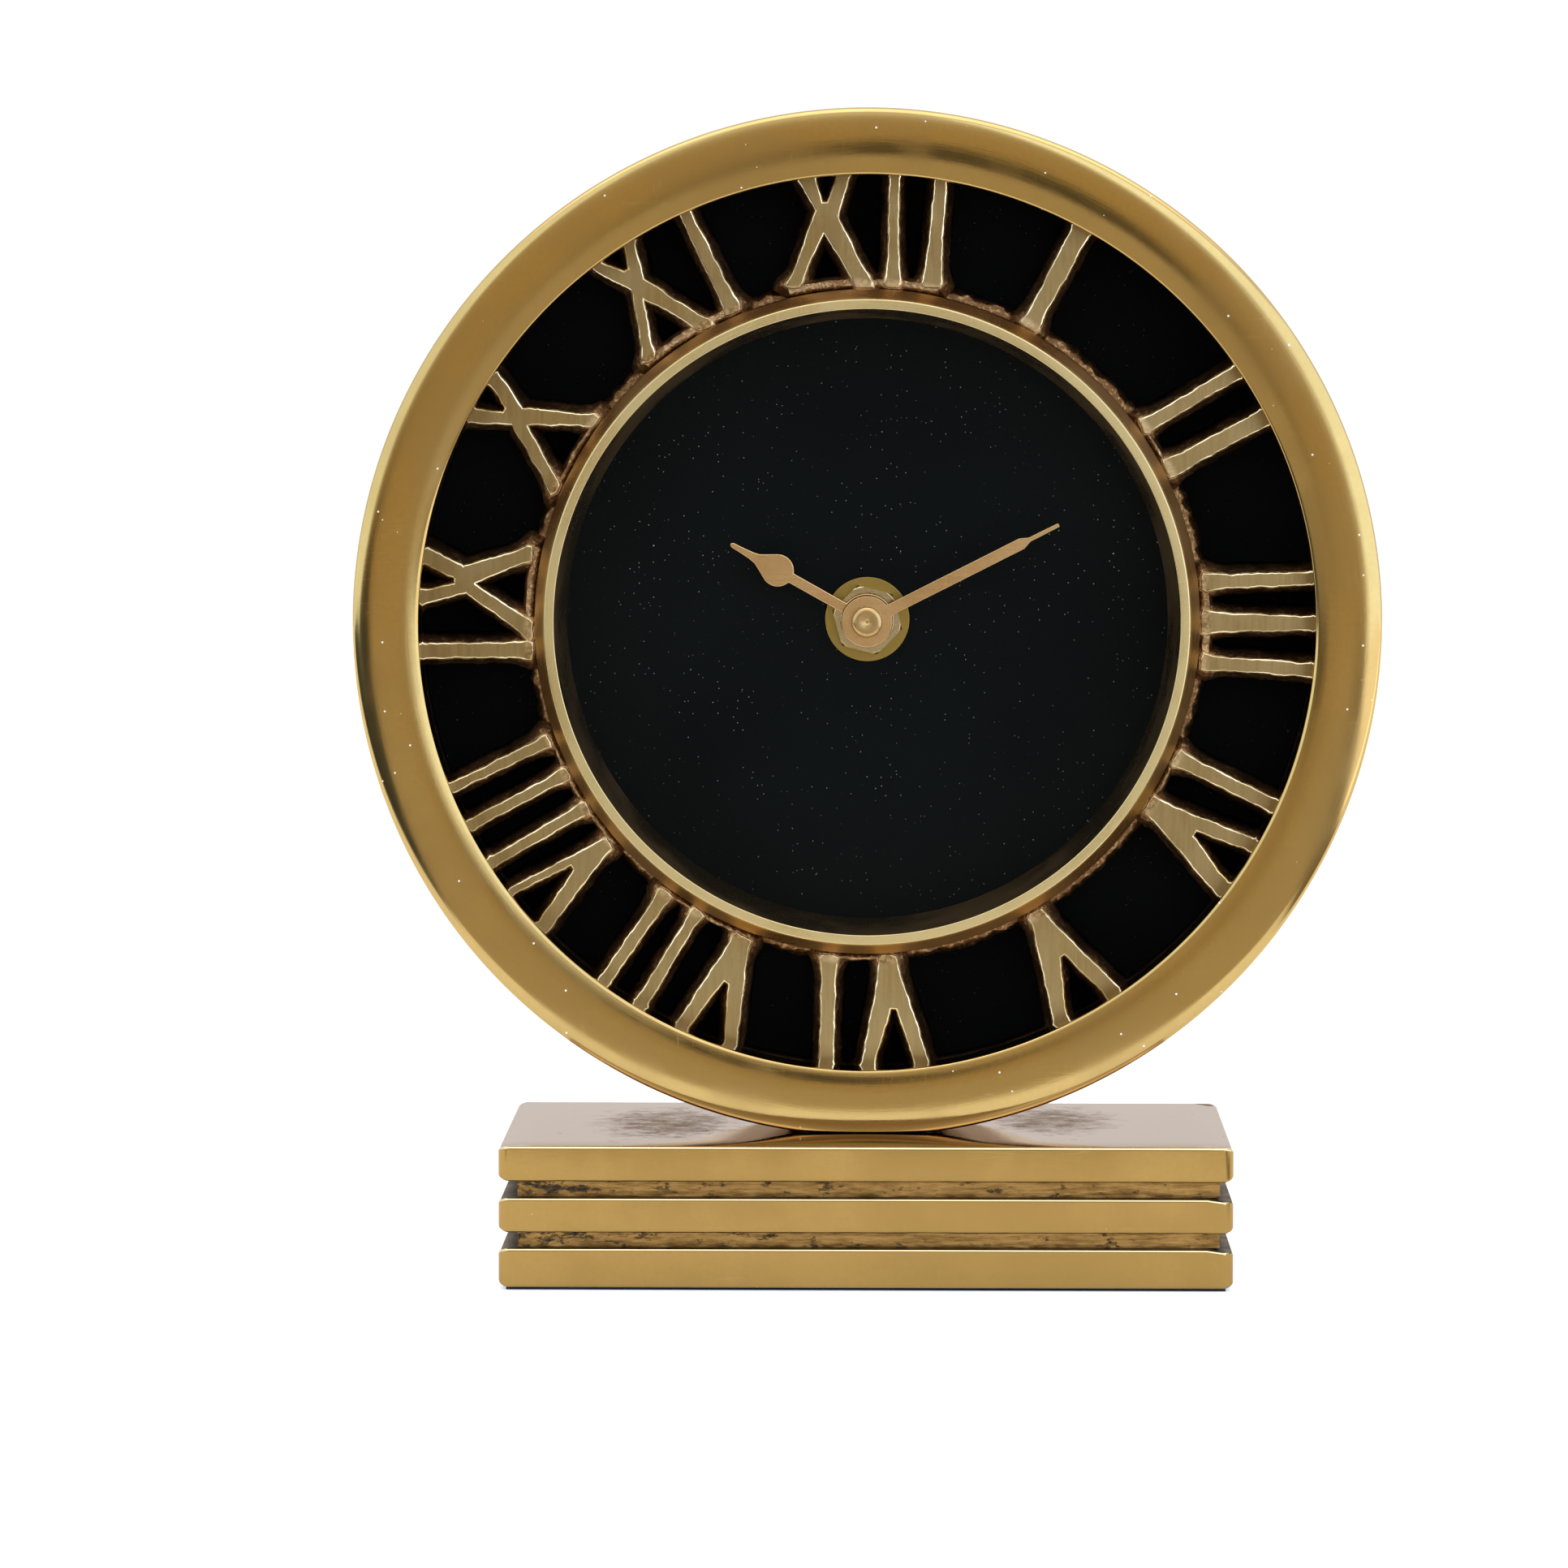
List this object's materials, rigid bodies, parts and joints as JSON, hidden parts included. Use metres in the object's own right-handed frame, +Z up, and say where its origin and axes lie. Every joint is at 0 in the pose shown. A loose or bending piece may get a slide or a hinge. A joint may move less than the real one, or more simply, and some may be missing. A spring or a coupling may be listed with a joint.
{
  "type": "round desk clock",
  "caption": "Round brass desk clock: heavy ring with openwork Roman numerals round a sunk black dial, two hands, on a grooved slab base, with a battery movement behind.",
  "frame": {"origin": "centre of the underside of the base, on the surface it stands on", "axes": "+Z up, the dial faces -Y, +X to the right of someone reading the dial"},
  "size_m": [0.137, 0.046, 0.1558],
  "materials": {
    "polished_brass": "satin polished solid brass with fine scratches and age specks",
    "cast_brass": "sand cast brass, faces ground flat, drafted walls dark with age",
    "collar_brass": "bright turned brass",
    "groove_brass": "dull brass with black residue in the corners",
    "hand_brass": "satin brass, slightly pink",
    "nut_brass": "plated brass, worn silvery on the corners",
    "black_dial": "matte black paint with specks of dust",
    "black_card": "matte black card",
    "black_steel": "black lacquered steel",
    "screw_steel": "zinc plated steel",
    "felt": "thin black felt",
    "rubber": "soft black rubber",
    "black_plastic": "fine spark-eroded black moulding",
    "wheel_plastic": "natural white acetal",
    "arbor_brass": "turned brass",
    "magnet": "dark sintered magnet",
    "copper_wire": "enamelled copper winding",
    "board_green": "green solder resist",
    "crystal_can": "bright nickel can",
    "chip_resin": "black resin drop",
    "battery_sleeve": "plain printed sleeve with no marks",
    "contact_steel": "nickel plated spring steel"
  },
  "bodies": {
    "clock_body": {"rim": "polished_brass", "base_top_slab": "polished_brass", "base_middle_slab": "polished_brass", "base_bottom_slab": "polished_brass", "numeral_ring": "cast_brass", "dial_collar": "collar_brass", "base_upper_spacer": "groove_brass", "base_lower_spacer": "groove_brass", "dial_washer": "nut_brass", "hex_nut": "nut_brass", "threaded_bushing": "nut_brass", "dial_plate": "black_dial", "numeral_backing": "black_card", "back_plate": "black_steel", "back_plate_screws": "screw_steel", "base_screws": "screw_steel", "ring_bolts": "screw_steel", "ring_bolt_washers": "screw_steel", "stator": "screw_steel", "base_pad": "felt", "rubber_washer": "rubber", "movement_case": "black_plastic", "movement_cover": "black_plastic", "coil_bobbin": "wheel_plastic", "coil_winding": "copper_wire", "circuit_board": "board_green", "quartz_crystal": "crystal_can", "timing_chip": "chip_resin", "battery": "battery_sleeve", "positive_contact": "contact_steel", "negative_contact": "contact_steel"},
    "minute_work": {"minute_arbor": "arbor_brass", "minute_hand": "hand_brass", "hand_cap_nut": "nut_brass"},
    "hour_work": {"hour_wheel": "wheel_plastic", "hour_hand": "hand_brass"},
    "motion_work": {"motion_wheel": "wheel_plastic", "setting_knob": "black_plastic"},
    "centre_wheel": {"centre_wheel": "wheel_plastic"},
    "third_wheel": {"third_wheel": "wheel_plastic"},
    "seconds_wheel": {"seconds_wheel": "wheel_plastic"},
    "intermediate_wheel": {"intermediate_wheel": "wheel_plastic"},
    "rotor": {"rotor_pinion": "wheel_plastic", "rotor_magnet": "magnet"}
  },
  "joints": [
    {"name": "minute_hand_turn", "type": "hinge", "parent": "clock_body", "child": "minute_work", "pos_m": [0, 0, 0.0873], "axis": [0, 1, 0], "continuous": true},
    {"name": "hour_hand_turn", "type": "hinge", "parent": "clock_body", "child": "hour_work", "pos_m": [0, 0, 0.0873], "axis": [0, 1, 0], "continuous": true},
    {"name": "setting_knob_turn", "type": "hinge", "parent": "clock_body", "child": "motion_work", "pos_m": [-0.00846, 0, 0.08422], "axis": [0, 1, 0], "continuous": true},
    {"name": "rotor_turn", "type": "hinge", "parent": "clock_body", "child": "rotor", "pos_m": [0.00111, 0, 0.10678], "axis": [0, 1, 0], "continuous": true},
    {"name": "intermediate_wheel_turn", "type": "hinge", "parent": "clock_body", "child": "intermediate_wheel", "pos_m": [-0.00613, 0, 0.10484], "axis": [0, 1, 0], "continuous": true},
    {"name": "seconds_wheel_turn", "type": "hinge", "parent": "clock_body", "child": "seconds_wheel", "pos_m": [-0.00461, 0, 0.09622], "axis": [0, 1, 0], "continuous": true},
    {"name": "third_wheel_turn", "type": "hinge", "parent": "clock_body", "child": "third_wheel", "pos_m": [0.00425, 0, 0.09466], "axis": [0, 1, 0], "continuous": true},
    {"name": "centre_wheel_turn", "type": "hinge", "parent": "clock_body", "child": "centre_wheel", "pos_m": [0, 0, 0.0873], "axis": [0, 1, 0], "continuous": true}
  ],
  "couplings": [
    {"joint": "hour_hand_turn", "follows": "minute_hand_turn", "ratio": 0.083333},
    {"joint": "setting_knob_turn", "follows": "minute_hand_turn", "ratio": -0.33333},
    {"joint": "intermediate_wheel_turn", "follows": "rotor_turn", "ratio": -0.2},
    {"joint": "seconds_wheel_turn", "follows": "rotor_turn", "ratio": 0.033333},
    {"joint": "third_wheel_turn", "follows": "rotor_turn", "ratio": -0.0041667},
    {"joint": "centre_wheel_turn", "follows": "rotor_turn", "ratio": 0.00055556}
  ]
}
